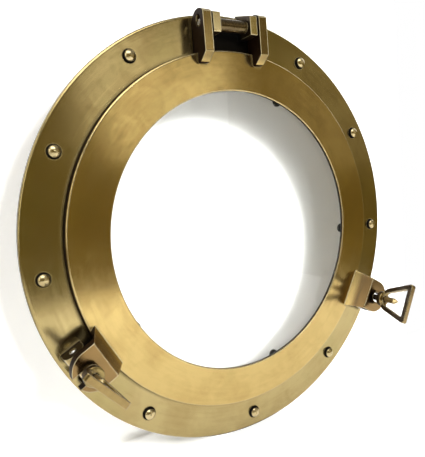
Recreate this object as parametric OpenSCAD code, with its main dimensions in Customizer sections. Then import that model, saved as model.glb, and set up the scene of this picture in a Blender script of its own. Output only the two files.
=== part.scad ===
// Round opening window of the ship's porthole kind: a flat ring frame for the wall, a glazed door
// ring hinged at the top, and two drop bolts with loop nuts that clamp the door shut.
// Each piece is drawn lying on its back, X right, Y up the wall and Z out of the wall, with the
// wall face at zero, and is then stood upright so that the window looks along -Y.

/* [Frame] */
// Outside diameter of the flange that lies on the wall
flange_d = 385; // [320:1:460]
// Thickness of the flange
flange_t = 6; // [4.5:0.5:9]
// Width of flange left showing outside the door
flange_land = 32; // [29:0.5:38]
// Width of the seat where the door laps over the frame
seat_w = 11.5; // [8:0.5:14]
// Rounding of the flange's front rim
flange_round = 2.4; // [0.5:0.1:3]

/* [Door ring] */
// Width of the door's front face
door_face_w = 34.5; // [30:0.5:42]
// Height of the door's outer edge above the flange
door_edge_h = 7.6; // [6:0.1:10]
// Extra height of the face at the opening
door_crown = 1; // [0.2:0.1:2]
// Thickness of the lip in front of the glass
lip_t = 2.2; // [1.6:0.1:4]
// Reach of the door's rim into the frame's bore
rim_reach = 3; // [2:0.1:4]
// Wall of the rim behind the door that carries the glass clips
rim_wall = 9.8; // [8:0.1:11]
// Rounding of the door's outer edge
door_round = 1.6; // [0.4:0.1:3.5]
// Rounding of the opening's front edge
opening_round = 0.9; // [0.3:0.1:1.5]

/* [Glazing] */
// Thickness of the glass
glass_t = 3; // [2.5:0.5:4]
// Thickness of the rubber bedding ring
gasket_t = 1.6; // [0.8:0.1:2.4]
// Angle of the first clip
first_clip_angle = 66; // [0:1:71]
// Width of a clip
clip_w = 9; // [6:0.5:12]
// Sheet thickness of a clip
clip_t = 1.2; // [0.8:0.1:1.5]
// Reach of a clip's tongue over the glass
clip_reach = 14.2; // [9:0.1:16]
// Diameter of a clip screw
clip_screw_d = 3; // [2.5:0.1:3.5]
// Length of a clip screw in the rim
clip_screw_l = 5; // [4:0.5:6]

/* [Hinge] */
// Distance of the hinge pin from the flange's outer edge
hinge_inset = 13; // [11:0.5:15]
// Diameter of the hinge pin
hinge_pin_d = 6.5; // [5:0.1:8]
// Clear width between the frame's two hinge ears
hinge_gap = 30.4; // [24:0.2:40]
// Thickness of a hinge ear on the frame
hinge_ear_t = 7.2; // [5:0.1:10]
// Thickness of a hinge arm on the door
arm_t = 8.4; // [7:0.1:12]
// Gap between an arm and its ear
arm_gap = 1.8; // [0.6:0.1:3]
// Radius of an arm's round end about the pin
arm_end_r = 11.4; // [10.5:0.1:13]
// Depth of an arm in front of the pin
arm_front_wall = 8.4; // [7:0.1:10]
// Play of the pin along the slot in an arm
slot_play = 3.6; // [1:0.1:4]
// Diameter of the barrel between the ears
barrel_d = 10.6; // [10:0.1:14]

/* [Dogs] */
// Angle of the left dog
dog_left_angle = 207.5; // [200:0.1:220]
// Angle of the right dog
dog_right_angle = 329.2; // [320:0.1:340]
// Distance of a dog's bolt from the flange's outer edge
dog_inset = 14.5; // [13:0.5:16]
// Diameter of a dog's bolt
bolt_d = 6; // [5:0.1:7]
// Diameter of a dog's pivot pin
dog_pin_d = 6; // [5:0.1:7]
// Radius of the eye barrel on a dog's bolt
eye_r = 7; // [6:0.1:8]
// Clear width between a dog's two ears
dog_gap = 18; // [14:0.5:22]
// Thickness of a dog's ear
dog_ear_t = 6; // [4:0.5:8]
// Radius of a dog's ear
dog_ear_r = 9; // [7.5:0.1:10]
// Width of the door's fork
fork_w = 33.2; // [28:0.2:38]
// Thickness of the fork's prongs
fork_t = 8; // [6:0.5:11]
// Width of the fork's slot
fork_slot_w = 10; // [7.6:0.1:12]

/* [Loop nuts] */
// Height of the nut's underside above the fork
nut_gap = 4.4; // [3:0.1:9]
// Height of a loop nut
nut_h = 35.4; // [30:0.2:42]
// Length of the crossbar that the fingers turn
nut_bar_w = 42; // [34:0.2:48]
// Width of a loop nut at its foot
nut_foot_w = 19; // [16:0.2:24]
// Depth of a loop nut's bars
nut_depth = 5.4; // [4.5:0.1:8]
// Thickness of a loop nut's bars
nut_bar_t = 4.4; // [3.5:0.1:6]
// Diameter of a loop nut's hub
nut_hub_d = 15.4; // [13:0.2:18]
// Height of a loop nut's hub
nut_hub_h = 5.4; // [4.5:0.1:7]
// Rest angle of the left nut about its bolt
nut_left_turn = 14; // [-90:1:90]
// Rest angle of the right nut about its bolt
nut_right_turn = 4; // [-90:1:90]

/* [Fixing bolts] */
// Distance of the fixing bolts from the flange's outer edge
fixing_inset = 14.5; // [12:0.5:17]
// Diameter of a fixing bolt's domed head
head_d = 11.4; // [8:0.1:13]
// Height of a fixing bolt's domed head
head_h = 5; // [2.5:0.1:6]
// Diameter of a fixing bolt's shoulder in the flange
shoulder_d = 6; // [5.6:0.1:7]
// Diameter of a fixing bolt's stud behind the flange
stud_d = 5; // [4:0.1:5.4]
// Length of a fixing bolt's stud behind the flange
stud_l = 14; // [8:1:40]

/* [Hidden] */
$fn = 128;

brass = "darkgoldenrod";
steel = "silver";
arc_steps = 6;
overrun = 2;
run_fit = 0.05;
// Hand-drilled places of the fixing bolts round the flange, in degrees
fixing_angles = [29, 61, 121, 153, 184, 233, 270, 305, 355];

// Frame and door, from the wall outwards and from the rim inwards
seat_gap = 0.3;
rim_gap = 0.6;
glass_gap = 0.4;
back_round = 0.5;
rim_round = 0.6;
bore_round = 0.8;
flange_r = flange_d / 2;
door_r = flange_r - flange_land;
opening_r = door_r - door_face_w;
frame_bore_r = door_r - seat_w;
rim_r = frame_bore_r - rim_gap;
rebate_r = rim_r - rim_wall;
glass_r = rebate_r - glass_gap;
seat_z = flange_t + seat_gap;
face_z = flange_t + door_edge_h;
crown_z = face_z + door_crown;
lip_z = crown_z - lip_t;
glass_front_z = lip_z - gasket_t;
glass_back_z = glass_front_z - glass_t;
rim_back_z = flange_t - rim_reach;

// Glass and its clips
glass_edge = 0.5;
clip_count = 5;
clip_toe = 1.2;
clip_gap = 0.3;
clip_end = rebate_r - clip_reach;
clip_screw_r = clip_screw_d / 2;
clip_screw_place = (rim_r + rebate_r) / 2;
clip_head_d = 5.4;
clip_head_h = 1.4;
clip_drive_w = 0.8;
clip_drive_h = 0.7;

// Hinge
arm_lift = 0.4;
arm_back_lift = 1;
arm_foot_reach = 12;
arm_foot_toe = 4;
arm_bend_run = 7;
arm_bend_round = 2;
arm_round = 1;
hinge_ear_front = 7.7;
hinge_ear_side = 8;
hinge_ear_lean = 1.5;
hinge_ear_sink = 3;
barrel_gap = 0.2;
barrel_edge = 0.6;
pin_recess = 0.4;
pin_edge = 0.7;
pin_dimple_d = 3.4;
pin_dimple_h = 0.8;
pin_y = flange_r - hinge_inset;
pin_z = flange_t + arm_lift + arm_end_r;
slot_r = hinge_pin_d / 2 + run_fit;
ear_in = hinge_gap / 2;
ear_out = ear_in + hinge_ear_t;
arm_in = ear_out + arm_gap;
arm_out = arm_in + arm_t;
arm_back_z = flange_t + arm_back_lift;
arm_front_z = pin_z + arm_front_wall;
arm_foot_y = door_r - arm_foot_reach;

// Dogs, forks and loop nuts
eye_lift = 1;
eye_play = 0.4;
eye_edge = 0.8;
ear_sink = 1;
fork_gap = 1;
fork_reach = 13.2;
fork_foot_reach = 6.5;
fork_foot_flare = 3.2;
fork_ridge_in = 14.4;
fork_root = 1;
fork_round = 0.8;
fork_slot_in = 6.5;
dog_pin_show = 1.2;
dog_pin_edge = 0.7;
bolt_show = 20.9;
bolt_taper = 3.5;
bolt_tip_share = 0.45;
nut_window_lift = 1;
nut_foot_lift = 2.4;
nut_foot_round_share = 0.58;
nut_bar_round = 2.4;
nut_window_round = 1.4;
nut_window_foot_round = 4;
nut_hub_edge = 0.8;
dog_r = flange_r - dog_inset;
pivot_z = flange_t + eye_lift + eye_r;
fork_low_z = pivot_z + dog_ear_r + fork_gap;
fork_top_z = fork_low_z + fork_t;
nut_z = fork_top_z + nut_gap;
bolt_tip_z = nut_z + bolt_show;
eye_l = dog_gap - 2 * eye_play;
dog_pin_l = dog_gap + 2 * (dog_ear_t + dog_pin_show);
nut_foot_round = nut_foot_round_share * nut_foot_w;
nut_flare = (nut_bar_w - nut_foot_w) / 2 / (nut_h - nut_foot_lift);
nut_bar_slant = nut_bar_t * sqrt(1 + nut_flare ^ 2);
nut_window_low = nut_hub_h + nut_window_lift;
nut_window_high = nut_h - nut_bar_t;

// Fixing bolts
stud_edge = 1;
fixing_r = flange_r - fixing_inset;
dome_r = (head_h ^ 2 + (head_d / 2) ^ 2) / (2 * head_h);

// Unit vector along a direction in the plane
function unit(v) = v / norm(v);

// Points of the arc that rounds corner p between its neighbours a and b
function corner(a, p, b, r) =
    let (to_a = unit(a - p))
    let (to_b = unit(b - p))
    let (half = acos(to_a * to_b) / 2)
    let (centre = p + unit(to_a + to_b) * r / sin(half))
    let (start = p + to_a * r / tan(half) - centre)
    let (stop = p + to_b * r / tan(half) - centre)
    let (first = atan2(start.y, start.x))
    let (sweep = atan2(start.x * stop.y - start.y * stop.x, start * stop))
    [for (i = [0 : arc_steps]) centre + r * [cos(first + sweep * i / arc_steps), sin(first + sweep * i / arc_steps)]];

// Outline through corners given as [x, y, rounding]
function rounded(corners) =
    let (n = len(corners))
    [for (i = [0 : n - 1])
        let (a = corners[(i + n - 1) % n])
        let (p = corners[i])
        let (b = corners[(i + 1) % n])
        each p.z == 0 ? [[p.x, p.y]] : corner([a.x, a.y], [p.x, p.y], [b.x, b.y], p.z)];

// Half width of a loop nut's outline at a height above its underside
function nut_half(h) = nut_foot_w / 2 + nut_flare * (h - nut_foot_lift);

// Stands a piece that was drawn lying on its back upright, looking along -Y
module upright() {
    rotate([90, 0, 0]) children();
}

// Extrudes an outline drawn in (y, z) along X
module across(x, w) {
    translate([x, 0, 0]) rotate([90, 0, 90]) linear_extrude(w) children();
}

// Extrudes an outline drawn in (x, z) by a width centred on y = 0
module along(w) {
    rotate([90, 0, 0]) linear_extrude(w, center = true) children();
}

// Places a dog's own axes: x outwards from the centre, y round the ring, z out of the wall
module at_dog(angle) {
    rotate(angle) translate([dog_r, 0, 0]) children();
}

// Turns to a clip's place round the ring
module at_clip(i) {
    rotate(first_clip_angle + 360 * (i - 1) / clip_count) children();
}

// Cylinder along X, centred on the hinge pin
module on_hinge(r, l) {
    translate([0, pin_y, pin_z]) rotate([0, 90, 0]) cylinder(r = r, h = l, center = true);
}

// Cylinder along y of a dog's axes, centred on its pivot
module on_pivot(r, l) {
    translate([0, 0, pivot_z]) rotate([90, 0, 0]) cylinder(r = r, h = l, center = true);
}

// Turned pin about z with bevelled ends, centred on the origin
module turned_pin(r, l, edge) {
    rotate_extrude() polygon([
        [0, -l / 2], [r - edge, -l / 2], [r, edge - l / 2],
        [r, l / 2 - edge], [r - edge, l / 2], [0, l / 2]]);
}

// Flat ring of the frame, in section
module frame_section() {
    polygon(rounded([
        [frame_bore_r, 0, 0],
        [flange_r, 0, back_round],
        [flange_r, flange_t, flange_round],
        [frame_bore_r, flange_t, bore_round]]));
}

// Frame ear beside a hinge arm: its top leans back over the flange's rim
module hinge_ear_profile() {
    polygon(rounded([
        [pin_y - hinge_ear_side, flange_t - ear_sink, 0],
        [pin_y - hinge_ear_side, pin_z + hinge_ear_front, arm_round],
        [pin_y + hinge_ear_side, pin_z + hinge_ear_front, arm_round],
        [flange_r + hinge_ear_lean, flange_t - hinge_ear_sink, 0],
        [pin_y, flange_t - hinge_ear_sink, 0]]));
}

// Pair of ears that carry a dog's pivot pin
module dog_ears() {
    for (side = [-1, 1])
        translate([0, side * (dog_gap + dog_ear_t) / 2, 0])
            along(dog_ear_t) {
                translate([0, pivot_z]) circle(dog_ear_r);
                translate([-dog_ear_r, flange_t - ear_sink]) square([2 * dog_ear_r, pivot_z - flange_t + ear_sink]);
            }
}

// Casting that lies on the wall: flange, hinge ears and dog ears in one piece
module outer_frame() {
    color(brass) upright() difference() {
        union() {
            rotate_extrude() frame_section();
            for (x = [-ear_out, ear_in])
                across(x, hinge_ear_t) hinge_ear_profile();
            for (angle = [dog_left_angle, dog_right_angle])
                at_dog(angle) dog_ears();
        }
        on_hinge(hinge_pin_d / 2 + run_fit, 2 * (ear_out + overrun));
        for (angle = [dog_left_angle, dog_right_angle])
            at_dog(angle) on_pivot(dog_pin_d / 2 + run_fit, dog_pin_l + 2 * overrun);
        for (angle = fixing_angles)
            rotate(angle) translate([fixing_r, 0, -overrun])
                cylinder(r = shoulder_d / 2 + run_fit, h = flange_t + 2 * overrun);
    }
}

// Dome-headed bolts that hold the flange to the wall
module fixing_bolts() {
    color(brass) upright()
        for (angle = fixing_angles)
            rotate(angle) translate([fixing_r, 0, 0]) rotate_extrude() {
                translate([0, flange_t]) intersection() {
                    translate([0, head_h - dome_r]) circle(dome_r);
                    square([head_d / 2, head_h]);
                }
                square([shoulder_d / 2, flange_t]);
                polygon([
                    [0, 0], [stud_d / 2, 0], [stud_d / 2, stud_edge - stud_l],
                    [stud_d / 2 - stud_edge, -stud_l], [0, -stud_l]]);
            }
}

// Door ring in section: front face, lip over the glass, rim in the frame and lapped seat
module door_section() {
    polygon(rounded([
        [opening_r, lip_z, 0],
        [rebate_r, lip_z, 0],
        [rebate_r, rim_back_z, 0],
        [rim_r, rim_back_z, rim_round],
        [rim_r, seat_z, 0],
        [door_r, seat_z, 0],
        [door_r, face_z, door_round],
        [opening_r, crown_z, opening_round]]));
}

// Hinge arm of the door: ramped foot, straight shank and a round slotted end
module arm_profile() {
    difference() {
        union() {
            polygon(rounded([
                [arm_foot_y, seat_z + seat_gap, 0],
                [arm_foot_y, face_z + arm_foot_toe, arm_round],
                [arm_foot_y + arm_bend_run, arm_front_z, arm_bend_round],
                [pin_y, arm_front_z, 0],
                [pin_y, arm_back_z, 0],
                [arm_foot_y + arm_bend_run, arm_back_z, 0]]));
            intersection() {
                translate([pin_y, pin_z]) circle(arm_end_r);
                translate([pin_y - arm_end_r, arm_back_z]) square([2 * arm_end_r, arm_front_z - arm_back_z]);
            }
        }
        translate([pin_y, pin_z]) circle(slot_r);
        translate([pin_y + slot_play, pin_z]) circle(slot_r);
        translate([pin_y, pin_z - slot_r]) square([slot_play, 2 * slot_r]);
    }
}

// Fork in plan, in a dog's axes: flared foot, straight sides and a half-round end
module fork_plan() {
    polygon([
        [door_r - fork_foot_reach - dog_r, -fork_w / 2 - fork_foot_flare],
        [-fork_ridge_in, -fork_w / 2],
        [fork_reach - fork_w / 2, -fork_w / 2],
        [fork_reach - fork_w / 2, fork_w / 2],
        [-fork_ridge_in, fork_w / 2],
        [door_r - fork_foot_reach - dog_r, fork_w / 2 + fork_foot_flare]]);
    translate([fork_reach - fork_w / 2, 0]) circle(fork_w / 2);
}

// Fork from the side, in a dog's axes: steep ramp to a ridge, flat top and overhung prongs
module fork_profile() {
    polygon(rounded([
        [door_r - fork_foot_reach - dog_r, seat_z + seat_gap, 0],
        [door_r - fork_foot_reach - dog_r, face_z, 0],
        [-fork_ridge_in, fork_top_z, fork_round],
        [fork_reach + overrun, fork_top_z, 0],
        [fork_reach + overrun, fork_low_z, 0],
        [door_r - fork_root - dog_r, fork_low_z, fork_root],
        [door_r - fork_root - dog_r, seat_z + seat_gap, 0]]));
}

// Slot in the fork that lets the bolt swing out
module fork_slot() {
    translate([fork_slot_w / 2 - fork_slot_in, 0, fork_low_z - overrun]) {
        cylinder(d = fork_slot_w, h = fork_t + 2 * overrun);
        translate([0, -fork_slot_w / 2, 0])
            cube([fork_reach + fork_slot_in + overrun, fork_slot_w, fork_t + 2 * overrun]);
    }
}

// Glazed door casting: ring, two hinge arms and two forks in one piece
module door_ring() {
    color(brass) upright() difference() {
        union() {
            rotate_extrude() door_section();
            for (x = [-arm_out, arm_in])
                across(x, arm_t) arm_profile();
            for (angle = [dog_left_angle, dog_right_angle])
                at_dog(angle) difference() {
                    intersection() {
                        translate([0, 0, rim_back_z]) linear_extrude(fork_top_z) fork_plan();
                        along(fork_w + 2 * (fork_foot_flare + overrun)) fork_profile();
                    }
                    fork_slot();
                }
        }
        for (i = [1 : clip_count])
            at_clip(i) translate([clip_screw_place, 0, rim_back_z - overrun])
                cylinder(r = clip_screw_r + run_fit, h = overrun + clip_screw_l + seat_gap);
    }
}

// Rubber ring that beds the glass on the door's lip
module glass_gasket() {
    color("black") upright() rotate_extrude()
        translate([opening_r + glass_gap, glass_front_z]) square([glass_r - opening_r - glass_gap, gasket_t]);
}

// Round pane with ground edges
module glass_pane() {
    color("lightcyan", 0.35) upright() rotate_extrude() polygon([
        [0, glass_back_z], [glass_r - glass_edge, glass_back_z], [glass_r, glass_back_z + glass_edge],
        [glass_r, glass_front_z - glass_edge], [glass_r - glass_edge, glass_front_z], [0, glass_front_z]]);
}

// Clip in plan: a strip whose tongue has a round nose
module clip_plan() {
    translate([clip_end + clip_w / 2, 0]) circle(d = clip_w);
    translate([clip_end + clip_w / 2, -clip_w / 2]) square([rim_r - clip_end, clip_w]);
}

// Clip i: a stepped strip screwed to the rim, its tongue on the back of the glass
module glass_clip(i) {
    color("dimgray") upright() at_clip(i) difference() {
        intersection() {
            along(clip_w + 2 * overrun) polygon([
                [rim_r - clip_toe, rim_back_z - clip_t],
                [rim_r - clip_toe, rim_back_z],
                [rebate_r - clip_gap, rim_back_z],
                [rebate_r - clip_gap, glass_back_z],
                [clip_end, glass_back_z],
                [clip_end, glass_back_z - clip_t],
                [rebate_r - clip_gap - clip_t, glass_back_z - clip_t],
                [rebate_r - clip_gap - clip_t, rim_back_z - clip_t]]);
            linear_extrude(glass_front_z) clip_plan();
        }
        translate([clip_screw_place, 0, rim_back_z - clip_t - overrun])
            cylinder(r = clip_screw_r + run_fit, h = clip_t + 2 * overrun);
    }
}

// Slotted screws that hold the clips
module clip_screws() {
    color("dimgray") upright()
        for (i = [1 : clip_count])
            at_clip(i) translate([clip_screw_place, 0, rim_back_z - clip_t]) difference() {
                union() {
                    cylinder(r = clip_screw_r, h = clip_t + clip_screw_l);
                    translate([0, 0, -clip_head_h]) cylinder(d = clip_head_d, h = clip_head_h);
                }
                translate([-clip_head_d, -clip_drive_w / 2, -clip_head_h - overrun])
                    cube([2 * clip_head_d, clip_drive_w, clip_drive_h + overrun]);
            }
}

// Steel pin fixed in the frame's ears, dimpled at both ends, on which the slotted arms turn
module hinge_pin() {
    pin_l = 2 * (arm_out - pin_recess);
    color(steel) upright() translate([0, pin_y, pin_z]) rotate([0, 90, 0]) difference() {
        turned_pin(hinge_pin_d / 2, pin_l, pin_edge);
        for (side = [0, 180])
            rotate([side, 0, 0]) translate([0, 0, pin_l / 2 - pin_dimple_h])
                cylinder(d = pin_dimple_d, h = pin_dimple_h + overrun);
    }
}

// Barrel that keeps the frame's ears apart on the pin
module hinge_barrel() {
    color(brass) upright() difference() {
        translate([0, pin_y, pin_z]) rotate([0, 90, 0])
            turned_pin(barrel_d / 2, hinge_gap - 2 * barrel_gap, barrel_edge);
        on_hinge(hinge_pin_d / 2 + run_fit, hinge_gap + 2 * overrun);
    }
}

// Steel pivot pin of one dog
module dog_pin(angle) {
    color(steel) upright() at_dog(angle)
        translate([0, 0, pivot_z]) rotate([90, 0, 0]) turned_pin(dog_pin_d / 2, dog_pin_l, dog_pin_edge);
}

// Drop bolt of one dog: an eye barrel on the pivot and a shank with a tapered tip
module dog_bolt(angle) {
    color(brass) upright() at_dog(angle) difference() {
        union() {
            translate([0, 0, pivot_z]) rotate([90, 0, 0]) turned_pin(eye_r, eye_l, eye_edge);
            rotate_extrude() polygon([
                [0, pivot_z], [bolt_d / 2, pivot_z], [bolt_d / 2, bolt_tip_z - bolt_taper],
                [bolt_tip_share * bolt_d / 2, bolt_tip_z], [0, bolt_tip_z]]);
        }
        on_pivot(dog_pin_d / 2 + run_fit, eye_l + 2 * overrun);
    }
}

// Outline of a loop nut with its rounded foot, in (width, height above the hub's underside)
module nut_outline() {
    polygon(rounded([
        [-nut_foot_w / 2, nut_foot_lift, nut_foot_round],
        [nut_foot_w / 2, nut_foot_lift, nut_foot_round],
        [nut_bar_w / 2, nut_h, nut_bar_round],
        [-nut_bar_w / 2, nut_h, nut_bar_round]]));
}

// Finger window of a loop nut
module nut_window() {
    low = nut_half(nut_window_low) - nut_bar_slant;
    high = nut_half(nut_window_high) - nut_bar_slant;
    polygon(rounded([
        [-low, nut_window_low, nut_window_foot_round],
        [low, nut_window_low, nut_window_foot_round],
        [high, nut_window_high, nut_window_round],
        [-high, nut_window_high, nut_window_round]]));
}

// Loop nut of one dog: a round hub under a flared loop that ends in a crossbar
module loop_nut(angle, turn) {
    color(brass) upright() at_dog(angle) translate([0, 0, nut_z]) rotate(turn) difference() {
        union() {
            translate([-nut_depth / 2, 0, 0]) across(0, nut_depth) difference() {
                nut_outline();
                nut_window();
            }
            translate([0, 0, nut_hub_h / 2]) turned_pin(nut_hub_d / 2, nut_hub_h, nut_hub_edge);
        }
        translate([0, 0, -overrun])
            cylinder(r = bolt_d / 2 + run_fit, h = nut_window_low + 2 * overrun);
    }
}

outer_frame();
fixing_bolts();
door_ring();
glass_gasket();
glass_pane();
glass_clip(1);  // glass_clip_1
glass_clip(2);  // glass_clip_2
glass_clip(3);  // glass_clip_3
glass_clip(4);  // glass_clip_4
glass_clip(5);  // glass_clip_5
clip_screws();
hinge_pin();
hinge_barrel();
dog_pin(dog_left_angle);  // dog_pin_left
dog_pin(dog_right_angle);  // dog_pin_right
dog_bolt(dog_left_angle);  // dog_bolt_left
dog_bolt(dog_right_angle);  // dog_bolt_right
loop_nut(dog_left_angle, nut_left_turn);  // loop_nut_left
loop_nut(dog_right_angle, nut_right_turn);  // loop_nut_right
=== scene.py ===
"""Studio dressing of a round brass window: finishes, light and camera.

Everything is in metres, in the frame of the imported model: X to the right, Y into the wall, Z up.
"""

import logging
import math
from collections.abc import Mapping
from dataclasses import dataclass, field
from enum import Enum

import bmesh
import bpy
from mathutils import Matrix, Vector


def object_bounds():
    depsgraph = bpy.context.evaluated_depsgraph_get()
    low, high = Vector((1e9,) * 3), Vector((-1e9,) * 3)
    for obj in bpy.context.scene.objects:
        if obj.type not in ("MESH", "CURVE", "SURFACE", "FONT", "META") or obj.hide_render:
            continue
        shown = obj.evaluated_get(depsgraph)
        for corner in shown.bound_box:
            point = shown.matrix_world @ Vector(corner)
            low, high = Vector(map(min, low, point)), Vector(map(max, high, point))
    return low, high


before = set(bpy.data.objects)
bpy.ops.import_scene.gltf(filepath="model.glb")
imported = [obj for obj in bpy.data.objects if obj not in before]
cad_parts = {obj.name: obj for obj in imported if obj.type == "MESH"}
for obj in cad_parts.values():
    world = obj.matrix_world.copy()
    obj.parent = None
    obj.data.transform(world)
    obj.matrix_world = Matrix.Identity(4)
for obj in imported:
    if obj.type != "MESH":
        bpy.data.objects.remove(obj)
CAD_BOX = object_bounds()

LOG = logging.getLogger("round_window")
Colour = tuple[float, float, float, float]
Band = tuple[float, float]
MM = 0.001
WHITE = (1.0, 1.0, 1.0, 1.0)
NOISE_MIDDLE = 0.5
EDGE_SAMPLES = 6
CORNER_SAMPLES = 8
WELD_REACH = 0.002 * MM
SHARP_ANGLE = math.radians(50.0)
EDGE_SEGMENTS = 3
FLAT_WEIGHT = 60


class Wire:
    """An output socket of a shader graph, whose operators add Math nodes."""

    def __init__(self, graph: "Graph", socket: bpy.types.NodeSocket) -> None:
        """Keeps the socket with the graph that it belongs to."""
        self.graph = graph
        self.socket = socket

    def __add__(self, other: "Wire | float") -> "Wire":
        """Sum of the two values."""
        return self.graph.math("ADD", self, other)

    def __radd__(self, other: float) -> "Wire":
        """Sum, with a plain number on the left."""
        return self.graph.math("ADD", other, self)

    def __sub__(self, other: "Wire | float") -> "Wire":
        """Difference of the two values."""
        return self.graph.math("SUBTRACT", self, other)

    def __rsub__(self, other: float) -> "Wire":
        """Difference, with a plain number on the left."""
        return self.graph.math("SUBTRACT", other, self)

    def __mul__(self, other: "Wire | float") -> "Wire":
        """Product of the two values."""
        return self.graph.math("MULTIPLY", self, other)

    def __truediv__(self, other: "Wire | float") -> "Wire":
        """Quotient of the two values."""
        return self.graph.math("DIVIDE", self, other)

    def __pow__(self, other: float) -> "Wire":
        """Power of the value."""
        return self.graph.math("POWER", self, other)


Feed = Wire | float | Colour | tuple[float, float, float]


@dataclass(frozen=True)
class Mottle:
    """A soft random pattern, whose band of values, if given, is stretched to run from 0 to 1."""

    scale: float
    detail: float
    swirl: float = 0.0
    band: Band | None = None


class Graph:
    """The node tree of one material or of the world, built by expressions."""

    def __init__(self, tree: bpy.types.NodeTree) -> None:
        """Takes a node tree and empties it."""
        self.tree = tree
        tree.nodes.clear()

    def node(self, kind: str, settings: Mapping[str, object] | None = None,
             inputs: Mapping[str | int, Feed] | None = None, output: str | int = 0) -> Wire:
        """Adds one node.

        Args:
            kind: Blender's name of the node's type.
            settings: the node's own properties, set first.
            inputs: values or links of its sockets, by name or number.
            output: the socket that is handed back.

        Returns:
            The chosen output.
        """
        made = self.tree.nodes.new(kind)
        for name, value in (settings or {}).items():
            setattr(made, name, value)
        for name, value in (inputs or {}).items():
            if isinstance(value, Wire):
                self.tree.links.new(value.socket, made.inputs[name])
            else:
                made.inputs[name].default_value = value
        return Wire(self, made.outputs[output])

    def math(self, operation: str, first: Wire | float, second: Wire | float) -> Wire:
        """One Math node on two values."""
        return self.node("ShaderNodeMath", {"operation": operation}, {0: first, 1: second})

    def greatest(self, first: Wire, *others: Wire) -> Wire:
        """Picks the largest of some values.

        Args:
            first: one value.
            others: the values that it is compared with.

        Returns:
            The largest of them at each point.
        """
        for other in others:
            first = self.math("MAXIMUM", first, other)
        return first

    def length(self, across: Wire, along: Wire) -> Wire:
        """Distance that two steps at right angles make together."""
        return (across * across + along * along) ** 0.5

    def smooth(self, value: Wire, low: float, high: float) -> Wire:
        """Eases from 0 at low to 1 at high."""
        return self.node("ShaderNodeMapRange", {"interpolation_type": "SMOOTHSTEP"},
                         {"Value": value, "From Min": low, "From Max": high})

    def blend(self, share: Wire | float, start: Feed, end: Feed) -> Wire:
        """Mixes two colours: start where share is 0, end where it is 1."""
        return self.node("ShaderNodeMix", {"data_type": "RGBA"}, {0: share, 6: start, 7: end}, 2)

    def vector(self, x: Wire | float, y: Wire | float, z: Wire | float) -> Wire:
        """Joins three values to a vector."""
        return self.node("ShaderNodeCombineXYZ", None, {0: x, 1: y, 2: z})

    def split(self, vector: Wire) -> tuple[Wire, Wire, Wire]:
        """Parts a vector into its three values."""
        return tuple(self.node("ShaderNodeSeparateXYZ", None, {0: vector}, i) for i in range(3))

    def noise(self, place: Wire, scale: float, detail: float, swirl: float = 0.0) -> Wire:
        """Soft noise from 0 to 1 at a place."""
        return self.node("ShaderNodeTexNoise", None, {
            "Vector": place, "Scale": scale, "Detail": detail, "Distortion": swirl}, "Fac")

    def mottle(self, place: Wire, kind: Mottle) -> Wire:
        """A random pattern's value at a place."""
        value = self.noise(place, kind.scale, kind.detail, kind.swirl)
        return self.smooth(value, *kind.band) if kind.band else value

    def coordinate(self, name: str) -> Wire:
        """One output of the Texture Coordinate node."""
        return self.node("ShaderNodeTexCoord", None, None, name)

    def place(self) -> Wire:
        """The surface point in the piece's own coordinates, in metres."""
        return self.coordinate("Object")

    def geometry(self, name: str) -> Wire:
        """One output of the Geometry node."""
        return self.node("ShaderNodeNewGeometry", None, None, name)

    def ray(self, name: str) -> Wire:
        """One output of the Light Path node."""
        return self.node("ShaderNodeLightPath", None, None, name)

    def rounded(self, radius: float) -> Wire:
        """The surface's normal, as if its sharp edges were rounded."""
        return self.node("ShaderNodeBevel", {"samples": EDGE_SAMPLES}, {"Radius": radius})

    def closed_in(self, reach: float) -> Wire:
        """How much stands round the surface within a reach: 0 in the open, nearly 1 in a seam."""
        sky = self.node("ShaderNodeAmbientOcclusion", {"samples": CORNER_SAMPLES},
                        {"Distance": reach}, "AO")
        return 1.0 - sky

    def relief(self, height: Wire, rise: float, normal: Wire | None = None) -> Wire:
        """The normal of a surface that rises with height, over another normal if one is given."""
        inputs = {"Strength": 1.0, "Distance": rise, "Height": height}
        return self.node("ShaderNodeBump", None, inputs | ({"Normal": normal} if normal else {}))

    def surface(self, shader: Wire, kind: str = "ShaderNodeOutputMaterial") -> None:
        """Ends the graph with its output node."""
        made = self.tree.nodes.new(kind)
        self.tree.links.new(shader.socket, made.inputs["Surface"])


def new_material(name: str) -> tuple[bpy.types.Material, Graph]:
    """A fresh material and its empty graph.

    Args:
        name: the material's name.

    Returns:
        The material and the graph to fill.
    """
    material = bpy.data.materials.new(name)
    material.use_nodes = True
    return material, Graph(material.node_tree)


class Grain(Enum):
    """How the last tool left its marks on the metal."""

    TURNED = "rings about the window's axis"
    FILED = "strokes along the piece"


class Half(Enum):
    """Upper or lower half of the window, by the sign of Z."""

    UPPER = 1.0
    LOWER = -1.0


@dataclass(frozen=True)
class WearAndLight:
    """Masks from 0 to 1 of a brass piece's faces, corners and edges, which carry its wear and its
    painted light and shade, and its softened normal.
    """

    rounded: Wire
    unshaded: Wire
    corner: Wire
    edge: Wire


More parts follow.
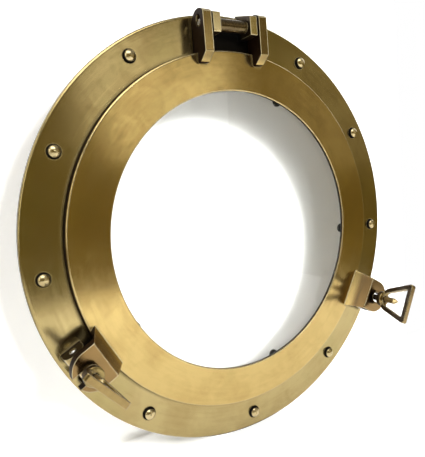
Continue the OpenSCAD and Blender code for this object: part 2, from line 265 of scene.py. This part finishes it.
@dataclass(frozen=True)
class OldBrass:
    """Satin brass, with painted shade on faces turned from the front and, with patina and grime, in
    its corners; its front edges are worn bright with a painted highlight.

    A band holds the two values between which a mask eases from 0 to 1. A share is a mask's weight
    in the colour, and a dulling its weight in the roughness.
    """

    name: str
    metal: Colour
    patina: Colour
    grain: Grain = Grain.TURNED
    roughness: float = 0.18
    # Colour of faces turned away from the front: painted shade.
    side: Colour = (0.045, 0.027, 0.01, 1.0)
    # Colour of corners and seams: patina and grime with painted shade.
    corner: Colour = (0.016, 0.009, 0.004, 1.0)
    # Colour of the black patch behind the hinge: painted shade with grime.
    black: Colour = (0.002, 0.0016, 0.0012, 1.0)
    tarnish: Colour = (0.33, 0.29, 0.1, 1.0)
    # Colour of front-facing edges: wear with a painted highlight.
    rubbed_highlight: Colour = (0.97, 0.85, 0.54, 1.0)
    # Colours of the standing parts of one half and of the other: painted light and shade.
    standing_light_shade: Colour | None = None
    other_half_shade: Colour | None = None
    clouds: Mottle = Mottle(21.0, 6.0, 0.4, (0.35, 0.7))
    smears: Mottle = Mottle(75.0, 4.0, 0.8)
    pits: Mottle = Mottle(820.0, 2.0, band=(0.66, 0.78))
    blotches: Mottle = Mottle(14.0, 5.0, 0.6, (0.45, 0.68))
    cloud_share: float = 0.55
    pit_share: float = 0.3
    streak_share: float = 0.7
    smear_share: float = 0.8
    tarnish_share: float = 0.3
    standing_light_shade_share: float = 0.9
    other_half_shade_share: float = 0.7
    edge_share: float = 0.85
    lines: float = 2400.0
    streak_pitch: float = 0.12
    mark_detail: float = 4.0
    mark_breaks: float = 5.0
    mark_stretch: float = 0.1
    mark_height: float = 0.012 * MM
    smear_height: float = 0.5
    back_turn: Band = (0.6, 0.85)
    back_depth: Band = (0.2 * MM, 1.0 * MM)
    back_share: float = 0.5
    unshaded_band: Band = (0.12, 0.42)
    side_grime_and_shade: float = 0.3
    seam_reach: float = 1.8 * MM
    seam_band: Band = (0.16, 0.4)
    corner_reach: float = 5.0 * MM
    corner_band: Band = (0.12, 0.45)
    corner_rub: float = 0.6
    hollow_reach: float = 26.0 * MM
    hollow_band: Band = (0.48, 0.7)
    edge_radius: float = 1.2 * MM
    edge_bend: Band = (0.02, 0.14)
    edge_front: Band = (-0.3, -0.05)
    edge_scatter: float = 0.5
    # Where the black patch behind the hinge sits: painted shade with grime.
    hinge_black_at: tuple[float, float] | None = None
    hinge_black_reach: tuple[float, float] = (35.0 * MM, 14.0 * MM)
    hinge_black_power: float = 4.0
    hinge_black_rim: Band = (0.8, 1.05)
    hinge_black_start: Band = (3.0 * MM, 5.0 * MM)
    hinge_black_end: Band = (8.0 * MM, 14.0 * MM)
    # Where the standing parts begin, which are painted lighter or darker: painted light and shade.
    standing_from: float = 0.0
    standing_fade: float = 6.0 * MM
    standing_rise: Band = (0.0, 30.0 * MM)
    standing_half: Half = Half.LOWER
    mark_dulling: float = 0.12
    smear_dulling: float = 0.16
    streak_dulling: float = 0.1
    side_dulling: float = 0.1
    corner_dulling: float = 0.4
    edge_polish: float = 0.06
    grime_and_shade_gloss: float = 0.12
    coat: float = 0.45
    coat_roughness: float = 0.25

    def marks(self, graph: Graph, place: Wire, lines: float) -> Wire:
        """Tool marks.

        Args:
            graph: the material's graph.
            place: the surface point.
            lines: number of marks in a metre.

        Returns:
            A value from 0 to 1 that changes across the marks and hardly along them.
        """
        x, y, z = graph.split(place)
        if self.grain is Grain.FILED:
            strokes = graph.vector(x * lines, y * lines * self.mark_stretch, z * lines)
            return graph.noise(strokes, 1.0, self.mark_detail)
        radius = graph.length(x, z)
        rings = graph.vector((radius + y) * lines, x / radius * self.mark_breaks,
                             z / radius * self.mark_breaks)
        return graph.noise(rings, 1.0, self.mark_detail)

    def hinge_black(self, graph: Graph, place: Wire) -> Wire:
        """Black patch behind the hinge barrel: painted shade with grime.

        Args:
            graph: the material's graph.
            place: the surface point.

        Returns:
            1 in the middle of the black patch, easing to 0 at its rim.
        """
        x, y, z = graph.split(place)
        across = (x - self.hinge_black_at[0]) / self.hinge_black_reach[0]
        upward = (z - self.hinge_black_at[1]) / self.hinge_black_reach[1]
        away = (across ** self.hinge_black_power + upward ** self.hinge_black_power) ** (1.0 / self.hinge_black_power)
        ahead = 0.0 - y
        low = graph.smooth(ahead, *self.hinge_black_start) - graph.smooth(ahead, *self.hinge_black_end)
        return (1.0 - graph.smooth(away, *self.hinge_black_rim)) * low

    def standing_parts(self, graph: Graph, place: Wire, half: Half) -> Wire:
        """Where the standing parts of a casting are, which are painted lighter or darker, standing
        in for light and shade.

        Args:
            graph: the material's graph.
            place: the surface point.
            half: the half of the window that is meant.

        Returns:
            1 on the standing parts of that half, easing to 0 towards the ring.
        """
        _, y, z = graph.split(place)
        standing = graph.smooth(0.0 - y, self.standing_from, self.standing_from + self.standing_fade)
        return standing * graph.smooth(z * half.value, *self.standing_rise)

    def wear_and_light(self, graph: Graph, place: Wire) -> WearAndLight:
        """Finds the faces, corners and edges of a piece.

        Args:
            graph: the material's graph.
            place: the surface point.

        Returns:
            The masks of faces kept from the painted side shade, of corners with patina, grime and
            painted shade, and of front edges with wear and a painted highlight, with the softened
            normal.
        """
        rounded = graph.rounded(self.edge_radius)
        turn = graph.node("ShaderNodeVectorMath", {"operation": "DOT_PRODUCT"},
                          {0: rounded, 1: graph.geometry("Normal")}, "Value")
        local = graph.node("ShaderNodeVectorTransform", {
            "vector_type": "NORMAL", "convert_from": "WORLD", "convert_to": "OBJECT"}, {0: rounded})
        forward = graph.smooth(0.0 - graph.split(local)[1], *self.edge_front)
        inward = graph.split(graph.coordinate("Normal"))[1]
        hidden = graph.greatest(graph.smooth(inward, *self.back_turn),
                                graph.smooth(graph.split(place)[1], *self.back_depth))
        # How much of a face keeps its open colour rather than the painted side shade: front faces
        # fully, the back half.
        unshaded = graph.greatest(hidden * self.back_share,
                                graph.smooth(0.0 - inward, *self.unshaded_band))
        # Corners, seams, deep hollows and side faces darken: patina and grime there, with painted
        # shade.
        near = graph.smooth(graph.closed_in(self.corner_reach), *self.corner_band)
        corner = graph.greatest(near * (1.0 - unshaded * self.corner_rub),
                                graph.smooth(graph.closed_in(self.hollow_reach), *self.hollow_band),
                                graph.smooth(graph.closed_in(self.seam_reach), *self.seam_band),
                                (1.0 - unshaded) * self.side_grime_and_shade)
        # Edges that face the front brighten: wear with a painted highlight.
        edge = graph.smooth(1.0 - turn, *self.edge_bend) * (1.0 - corner) * forward
        return WearAndLight(rounded, unshaded, corner, edge)

    def aged(self, graph: Graph, place: Wire, streaks: Wire, smears: Wire) -> Wire:
        """Colour of the open faces.

        Args:
            graph: the material's graph.
            place: the surface point.
            streaks: the broad tool marks.
            smears: the pattern of old polish.

        Returns:
            Metal with its patina and blotches, with standing parts painted lighter or darker as
            light and shade.
        """
        patina = (graph.mottle(place, self.clouds) * self.cloud_share
                  + graph.mottle(place, self.pits) * self.pit_share
                  + (streaks - NOISE_MIDDLE) * self.streak_share
                  + (smears - NOISE_MIDDLE) * self.smear_share)
        colour = graph.blend(patina, self.metal, self.patina)
        blotches = graph.mottle(place, self.blotches)
        colour = graph.blend(blotches * self.tarnish_share, colour, self.tarnish)
        # Standing parts of one half are painted lighter or darker, those of the other half darker:
        # painted light and shade.
        if self.standing_light_shade:
            painted_standing = self.standing_parts(graph, place, self.standing_half)
            colour = graph.blend(painted_standing * self.standing_light_shade_share, colour, self.standing_light_shade)
        if self.other_half_shade:
            painted_other_half = self.standing_parts(graph, place, Half(-self.standing_half.value))
            colour = graph.blend(painted_other_half * self.other_half_shade_share, colour, self.other_half_shade)
        return colour

    def material(self) -> bpy.types.Material:
        """Builds the material.

        Returns:
            The material for a brass piece.
        """
        material, graph = new_material(self.name)
        place = graph.place()
        marks = self.marks(graph, place, self.lines)
        streaks = self.marks(graph, place, self.lines * self.streak_pitch)
        smears = graph.mottle(place, self.smears)
        wear_and_light = self.wear_and_light(graph, place)
        grime_and_shade = wear_and_light.corner
        # Faces turned away from the front take the side colour: painted shade.
        faced = graph.blend(wear_and_light.unshaded, self.side, self.aged(graph, place, streaks, smears))
        # Corners and seams take the dark corner colour: patina and grime with painted shade.
        seated = graph.blend(grime_and_shade, faced, self.corner)
        # Front-facing edges take the bright edge colour: wear with a painted highlight.
        colour = graph.blend(wear_and_light.edge * self.edge_share, seated, self.rubbed_highlight)
        # The black patch behind the hinge barrel: painted shade with grime.
        if self.hinge_black_at:
            hinge_black = self.hinge_black(graph, place)
            colour = graph.blend(hinge_black, colour, self.black)
            grime_and_shade = graph.greatest(grime_and_shade, hinge_black)
        roughness = (self.roughness + (marks - NOISE_MIDDLE) * self.mark_dulling
                     + (smears - NOISE_MIDDLE) * self.smear_dulling
                     + (streaks - NOISE_MIDDLE) * self.streak_dulling
                     + (1.0 - wear_and_light.unshaded) * self.side_dulling
                     + grime_and_shade * self.corner_dulling - wear_and_light.edge * self.edge_polish)
        relief = graph.relief(marks + smears * self.smear_height, self.mark_height, wear_and_light.rounded)
        graph.surface(graph.node("ShaderNodeBsdfPrincipled", None, {
            "Base Color": colour,
            # Edges are partly non-metal so that they catch the diffuse lamps: part of the painted
            # edge highlight.
            "Metallic": (1.0 - grime_and_shade) * (1.0 - wear_and_light.edge * self.edge_scatter),
            "Roughness": roughness,
            "Normal": relief,
            "Specular IOR Level": self.grime_and_shade_gloss,
            "Coat Weight": self.coat - grime_and_shade * self.coat,
            "Coat Roughness": self.coat_roughness}))
        return material


@dataclass(frozen=True)
class TurnedSteel:
    """Bright steel of the pins, with fine tool marks, stains in patches and painted shade in the
    corners.
    """

    name: str
    metal: Colour = (0.66, 0.65, 0.62, 1.0)
    # Colour of the stains and of the painted shade in the corners.
    stain_and_shade: Colour = (0.26, 0.2, 0.13, 1.0)
    roughness: float = 0.2
    marks: Mottle = Mottle(1500.0, 3.0)
    mark_height: float = 0.004 * MM
    mark_dulling: float = 0.12
    clouds: Mottle = Mottle(160.0, 4.0, band=(0.45, 0.75))
    cloud_share: float = 0.3
    corner_reach: float = 3.0 * MM
    corner_band: Band = (0.1, 0.8)
    corner_share: float = 0.6
    corner_dulling: float = 0.15
    edge_radius: float = 0.3 * MM

    def material(self) -> bpy.types.Material:
        """Builds the material.

        Returns:
            The material for a steel pin.
        """
        material, graph = new_material(self.name)
        place = graph.place()
        marks = graph.mottle(place, self.marks)
        # Corners darken with the stain colour: painted shade.
        corner = graph.smooth(graph.closed_in(self.corner_reach), *self.corner_band)
        stain_and_shade_share = graph.mottle(place, self.clouds) * self.cloud_share + corner * self.corner_share
        graph.surface(graph.node("ShaderNodeBsdfPrincipled", None, {
            "Base Color": graph.blend(stain_and_shade_share, self.metal, self.stain_and_shade),
            "Metallic": 1.0,
            "Roughness": self.roughness + marks * self.mark_dulling + corner * self.corner_dulling,
            "Normal": graph.relief(marks, self.mark_height, graph.rounded(self.edge_radius))}))
        return material


@dataclass(frozen=True)
class BlackFinish:
    """Blackened steel or rubber, dusty in patches."""

    name: str
    base: Colour = (0.004, 0.0037, 0.0033, 1.0)
    dust: Colour = (0.02, 0.018, 0.016, 1.0)
    roughness: float = 0.5
    dusting: Mottle = Mottle(260.0, 5.0, band=(0.4, 0.75))
    dust_dulling: float = 0.2
    grain: Mottle = Mottle(2600.0, 2.0)
    grain_height: float = 0.02 * MM

    def material(self) -> bpy.types.Material:
        """Builds the material.

        Returns:
            The material for a black piece.
        """
        material, graph = new_material(self.name)
        place = graph.place()
        dusty = graph.mottle(place, self.dusting)
        graph.surface(graph.node("ShaderNodeBsdfPrincipled", None, {
            "Base Color": graph.blend(dusty, self.base, self.dust),
            "Roughness": self.roughness + dusty * self.dust_dulling,
            "Normal": graph.relief(graph.mottle(place, self.grain), self.grain_height)}))
        return material


@dataclass(frozen=True)
class ClearGlass:
    """Float glass that lets light and shadow through, with a few wiping marks."""

    name: str
    tint: Colour = (0.985, 0.995, 0.99, 1.0)
    wiping: Mottle = Mottle(34.0, 5.0, 1.2, (0.55, 0.8))
    haze: float = 0.02
    refraction: float = 1.45
    gloss: float = 0.15

    def material(self) -> bpy.types.Material:
        """Builds the material.

        Returns:
            The material for the pane.
        """
        material, graph = new_material(self.name)
        glass = graph.node("ShaderNodeBsdfPrincipled", None, {
            "Base Color": self.tint,
            "Roughness": graph.mottle(graph.place(), self.wiping) * self.haze,
            "IOR": self.refraction,
            "Specular IOR Level": self.gloss,
            "Transmission Weight": 1.0})
        clear = graph.node("ShaderNodeBsdfTransparent", None, {"Color": self.tint})
        graph.surface(graph.node("ShaderNodeMixShader", None, {
            0: graph.ray("Is Shadow Ray"), 1: glass, 2: clear}))
        return material


@dataclass(frozen=True)
class StudioWhite:
    """Matt white sweep that shows white and keeps a soft shadow; it can't be seen from behind.

    A lift is light that the sweep adds by itself: little on the backdrop behind the window, more
    round it, and none where the window stands or along the backdrop's foot to the left of it.
    """

    name: str
    paper: Colour = (0.86, 0.86, 0.85, 1.0)
    wall_lift: float = 0.015
    rim_lift: float = 0.55
    floor_lift: float = 0.42
    gloss_share: float = 0.62
    shade_at: tuple[float, float] = (0.043, -0.007)
    shade_rim: Band = (0.172, 0.225)
    contact: tuple[float, float] = (-0.06, 0.025)
    contact_reach: Band = (0.01, 0.04)
    foot_rise: Band = (-0.1915, -0.178)
    foot_side: Band = (-0.15, -0.115)

    def material(self) -> bpy.types.Material:
        """Builds the material.

        Returns:
            The material for the sweep.
        """
        material, graph = new_material(self.name)
        x, y, z = graph.split(graph.place())
        level = graph.split(graph.geometry("Normal"))[2]
        outward = graph.length(x - self.shade_at[0], z - self.shade_at[1])
        rim = graph.smooth(outward, *self.shade_rim)
        wall = self.wall_lift + rim * self.rim_lift
        foot = (1.0 - graph.smooth(z, *self.foot_rise)) * graph.smooth(x, *self.foot_side)
        shown_wall = wall * (1.0 - foot)
        away = graph.length(x - self.contact[0], y - self.contact[1])
        shown_floor = graph.smooth(away, *self.contact_reach) * self.floor_lift
        shown = shown_wall + level * (shown_floor - shown_wall)
        mirrored = (wall + level * (self.floor_lift - wall)) * self.gloss_share
        seen = graph.ray("Is Camera Ray") + graph.ray("Is Transmission Ray")
        light = seen * shown + graph.ray("Is Glossy Ray") * mirrored
        glow = graph.node("ShaderNodeEmission", None, {"Color": graph.vector(light, light, light)})
        paper = graph.node("ShaderNodeBsdfDiffuse", None, {"Color": self.paper})
        front = graph.node("ShaderNodeAddShader", None, {0: paper, 1: glow})
        clear = graph.node("ShaderNodeBsdfTransparent")
        graph.surface(graph.node("ShaderNodeMixShader", None, {
            0: graph.geometry("Backfacing"), 1: front, 2: clear}))
        return material


class Finish(Enum):
    """The finishes of the window's pieces."""

    # The hinge ears standing out in the upper half are painted lighter: painted light; the black
    # patch behind the hinge is painted shade with grime.
    FRAME_BRASS = OldBrass(
        "frame_brass", (0.5, 0.39, 0.17, 1.0), (0.36, 0.255, 0.09, 1.0), hinge_black_at=(0.0, 0.168),
        standing_light_shade=(0.86, 0.72, 0.4, 1.0), standing_from=10.0 * MM, standing_half=Half.UPPER)
    # Faces turned from the front are nearly black, the forks are painted darker and the arms
    # duller: painted shade.
    DOOR_BRASS = OldBrass(
        "door_brass", (0.62, 0.45, 0.165, 1.0), (0.46, 0.305, 0.095, 1.0),
        side=(0.026, 0.011, 0.0035, 1.0), corner=(0.022, 0.009, 0.003, 1.0),
        tarnish=(0.42, 0.33, 0.11, 1.0), standing_light_shade=(0.23, 0.135, 0.045, 1.0),
        other_half_shade=(0.22, 0.15, 0.05, 1.0), standing_from=17.0 * MM, unshaded_band=(0.25, 0.5),
        side_grime_and_shade=0.85, edge_bend=(0.003, 0.03), edge_front=(0.35, 0.7))
    LOOP_BRASS = OldBrass(
        "loop_brass", (0.4, 0.28, 0.1, 1.0), (0.2, 0.125, 0.045, 1.0), Grain.FILED, 0.24)
    # Heads are bright in front and black on their sides and at their foot: painted shade with
    # grime, a dark ring round each head.
    BOLT_BRASS = OldBrass(
        "bolt_head_brass", (0.68, 0.55, 0.3, 1.0), (0.52, 0.39, 0.18, 1.0), Grain.FILED, 0.27,
        side=(0.004, 0.003, 0.002, 1.0), corner=(0.004, 0.003, 0.002, 1.0), back_share=0.9,
        unshaded_band=(0.54, 0.66), side_grime_and_shade=1.0, edge_radius=0.05 * MM, edge_share=0.0)
    BARREL_BRASS = OldBrass(
        "barrel_brass", (0.15, 0.1, 0.04, 1.0), (0.07, 0.045, 0.018, 1.0), Grain.FILED, 0.26)
    # The bolts' sides are darker than their fronts: painted shade.
    DOG_BRASS = OldBrass(
        "dog_brass", (0.66, 0.5, 0.24, 1.0), (0.44, 0.31, 0.13, 1.0), Grain.FILED, 0.2,
        side=(0.26, 0.18, 0.075, 1.0))
    PIN_STEEL = TurnedSteel("pin_steel")
    CLIP_BLACK = BlackFinish("clip_black", roughness=0.42)
    GASKET_RUBBER = BlackFinish(
        "gasket_rubber", (0.018, 0.018, 0.018, 1.0), (0.06, 0.058, 0.055, 1.0), 0.7)
    PANE_GLASS = ClearGlass("pane_glass")

    def material(self) -> bpy.types.Material:
        """The finish's material, built when first asked for."""
        return bpy.data.materials.get(self.value.name) or self.value.material()


def dress(node: str, finish: Finish, rounding: float = 0.0) -> None:
    """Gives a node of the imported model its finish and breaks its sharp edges.

    Args:
        node: the node's name.
        finish: what it is made of.
        rounding: width of the rounding along sharp edges; none when 0.
    """
    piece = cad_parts[node]
    piece.data.materials.clear()
    piece.data.materials.append(finish.material())
    if rounding:
        weld = piece.modifiers.new("joined_faces", "WELD")
        weld.merge_threshold = WELD_REACH
        edges = piece.modifiers.new("broken_edges", "BEVEL")
        edges.width = rounding
        edges.segments = EDGE_SEGMENTS
        edges.limit_method = "ANGLE"
        edges.angle_limit = SHARP_ANGLE
        edges.use_clamp_overlap = False
        normals = piece.modifiers.new("even_shading", "WEIGHTED_NORMAL")
        normals.weight = FLAT_WEIGHT
    LOG.info("%s is dressed in %s", node, finish.value.name)


class Side(Enum):
    """The side of the window that a dog is on, as its nodes' names have it."""

    LEFT = "left"
    RIGHT = "right"


@dataclass
class WallFrame:
    """Flange on the wall with its fixing bolts, hinge barrel and pins."""

    pins: tuple[str, ...] = ("hinge_pin", "dog_pin_left", "dog_pin_right")

    def dress(self) -> None:
        """Finishes every piece that stays on the wall."""
        dress("outer_frame", Finish.FRAME_BRASS)
        dress("fixing_bolts", Finish.BOLT_BRASS)
        dress("hinge_barrel", Finish.BARREL_BRASS)
        for node in self.pins:
            dress(node, Finish.PIN_STEEL)


@dataclass
class GlazedDoor:
    """Hinged ring with its pane, gasket, clips and screws."""

    clip_count: int = 5

    def dress(self) -> None:
        """Finishes the door's pieces."""
        dress("door_ring", Finish.DOOR_BRASS)
        dress("glass_pane", Finish.PANE_GLASS)
        dress("glass_gasket", Finish.GASKET_RUBBER)
        dress("clip_screws", Finish.CLIP_BLACK)
        for i in range(self.clip_count):
            dress(f"glass_clip_{i + 1}", Finish.CLIP_BLACK)


@dataclass
class DropBolt:
    """One dog: the swinging bolt and the loop nut that clamps the door."""

    side: Side
    edge_rounding: float = 0.45 * MM

    def dress(self) -> None:
        """Finishes the bolt and its nut."""
        dress(f"dog_bolt_{self.side.value}", Finish.DOG_BRASS)
        dress(f"loop_nut_{self.side.value}", Finish.LOOP_BRASS, self.edge_rounding)


@dataclass
class Lamp:
    """One soft lamp, placed by its direction in degrees from the window's centre."""

    name: str
    azimuth: float
    elevation: float
    distance: float
    width: float
    height: float
    radiance: float
    in_gloss: bool = True
    in_diffuse: bool = True

    def build(self) -> None:
        """Adds the lamp, turned to the centre."""
        azimuth, elevation = math.radians(self.azimuth), math.radians(self.elevation)
        away = Vector((math.sin(azimuth) * math.cos(elevation),
                       -math.cos(azimuth) * math.cos(elevation), math.sin(elevation)))
        data = bpy.data.lights.new(self.name, "AREA")
        data.shape = "RECTANGLE"
        data.size = self.width
        data.size_y = self.height
        data.energy = self.radiance * math.pi * self.width * self.height
        lamp = bpy.data.objects.new(self.name, data)
        lamp.location = away * self.distance
        lamp.rotation_euler = (-away).to_track_quat("-Z", "Y").to_euler()
        lamp.visible_camera = False
        lamp.visible_glossy = self.in_gloss
        lamp.visible_diffuse = self.in_diffuse
        bpy.context.scene.collection.objects.link(lamp)


@dataclass
class Studio:
    """White sweep, lamps, surroundings and camera."""

    floor_z: float = CAD_BOX[0].z
    front_y: float = -0.64
    wall_y: float = 0.045
    floor_sides: tuple[float, float] = (-0.9, 0.48)
    wall_sides: tuple[float, float] = (-0.26, 0.3)
    wall_top: float = 0.27
    cove: float = 0.003
    cove_steps: int = 8
    eye: tuple[float, float, float] = (-0.2378, -0.36, 0.0528)
    look: tuple[float, float, float] = (0.505, 0.855, -0.12)
    upward: tuple[float, float, float] = (0.135, 0.059, 0.989)
    lens_mm: float = 36.26
    shift: tuple[float, float] = (-0.0011, 0.0079)
    room: Colour = (0.2, 0.155, 0.046, 1.0)
    ceiling: Colour = (0.3, 0.3, 0.29, 1.0)
    ceiling_band: Band = (0.25, 0.8)
    direct_below: float = 0.5
    lamps: list[Lamp] = field(default_factory=lambda: [
        Lamp("key_lamp", 10.0, 22.0, 1.3, 0.3, 0.3, 74.0, in_gloss=False),
        Lamp("window_card", 22.5, 15.5, 1.5, 0.56, 0.44, 0.95),
        Lamp("right_card", 55.0, 11.0, 1.6, 0.7, 0.5, 0.14),
        Lamp("top_lamp", -25.0, 58.0, 1.5, 1.3, 0.9, 3.2, in_diffuse=False),
        Lamp("left_strip", -72.0, 18.0, 1.4, 0.35, 1.0, 2.0, in_diffuse=False),
        Lamp("right_strip", 98.0, 30.0, 1.4, 0.35, 0.9, 2.5, in_diffuse=False),
        Lamp("back_lamp", 170.0, 30.0, 1.6, 1.0, 0.8, 2.0),
        Lamp("back_card", 180.0, -4.0, 1.5, 1.8, 0.9, 0.5, in_diffuse=False)])

    def build_sweep(self) -> None:
        """Builds the floor that runs up into the backdrop as one sheet."""
        profile = [(self.front_y, self.floor_z)]
        for i in range(self.cove_steps + 1):
            angle = math.pi / 2 * i / self.cove_steps
            profile.append((self.wall_y - self.cove * (1 - math.sin(angle)),
                            self.floor_z + self.cove * (1 - math.cos(angle))))
        profile.append((self.wall_y, self.wall_top))
        mesh = bmesh.new()
        rows = []
        for y, z in profile:
            sides = self.wall_sides if z > self.floor_z else self.floor_sides
            rows.append([mesh.verts.new((x, y, z)) for x in sides])
        for low, high in zip(rows, rows[1:]):
            mesh.faces.new((low[0], low[1], high[1], high[0]))
        data = bpy.data.meshes.new("studio_sweep")
        mesh.to_mesh(data)
        mesh.free()
        data.materials.append(StudioWhite("studio_white").material())
        sweep = bpy.data.objects.new("studio_sweep", data)
        bpy.context.scene.collection.objects.link(sweep)

    def build_world(self) -> None:
        """Surrounds the window with a dim warm room that shows as white, also through the pane."""
        world = bpy.data.worlds.new("studio_room")
        world.use_nodes = True
        graph = Graph(world.node_tree)
        up = graph.split(graph.coordinate("Generated"))[2]
        air = graph.blend(graph.smooth(up, *self.ceiling_band), self.room, self.ceiling)
        direct = graph.math("LESS_THAN", graph.ray("Diffuse Depth"), self.direct_below)
        seen = graph.greatest(graph.ray("Is Camera Ray"), graph.ray("Is Transmission Ray") * direct)
        colour = graph.blend(seen, air, WHITE)
        sky = graph.node("ShaderNodeBackground", None, {"Color": colour})
        graph.surface(sky, "ShaderNodeOutputWorld")
        bpy.context.scene.world = world

    def build_camera(self) -> None:
        """Places the camera at the photograph's point of view."""
        data = bpy.data.cameras.new("photo_camera")
        data.lens = self.lens_mm
        data.shift_x, data.shift_y = self.shift
        look = Vector(self.look).normalized()
        right = look.cross(Vector(self.upward)).normalized()
        turn = Matrix((right, right.cross(look), -look)).transposed()
        camera = bpy.data.objects.new("photo_camera", data)
        camera.matrix_world = Matrix.Translation(self.eye) @ turn.to_4x4()
        bpy.context.scene.collection.objects.link(camera)
        bpy.context.scene.camera = camera

    def build(self) -> None:
        """Sets up the whole studio."""
        bpy.context.scene.view_settings.view_transform = "Standard"
        self.build_sweep()
        self.build_world()
        self.build_camera()
        for lamp in self.lamps:
            lamp.build()
        LOG.info("studio with %d lamps", len(self.lamps))


def main() -> None:
    """Sets up the studio and dresses the window in it."""
    logging.basicConfig(level=logging.INFO, format="%(name)s: %(message)s")
    Studio().build()
    WallFrame().dress()
    GlazedDoor().dress()
    for side in Side:
        DropBolt(side).dress()


if __name__ == "__main__":
    main()
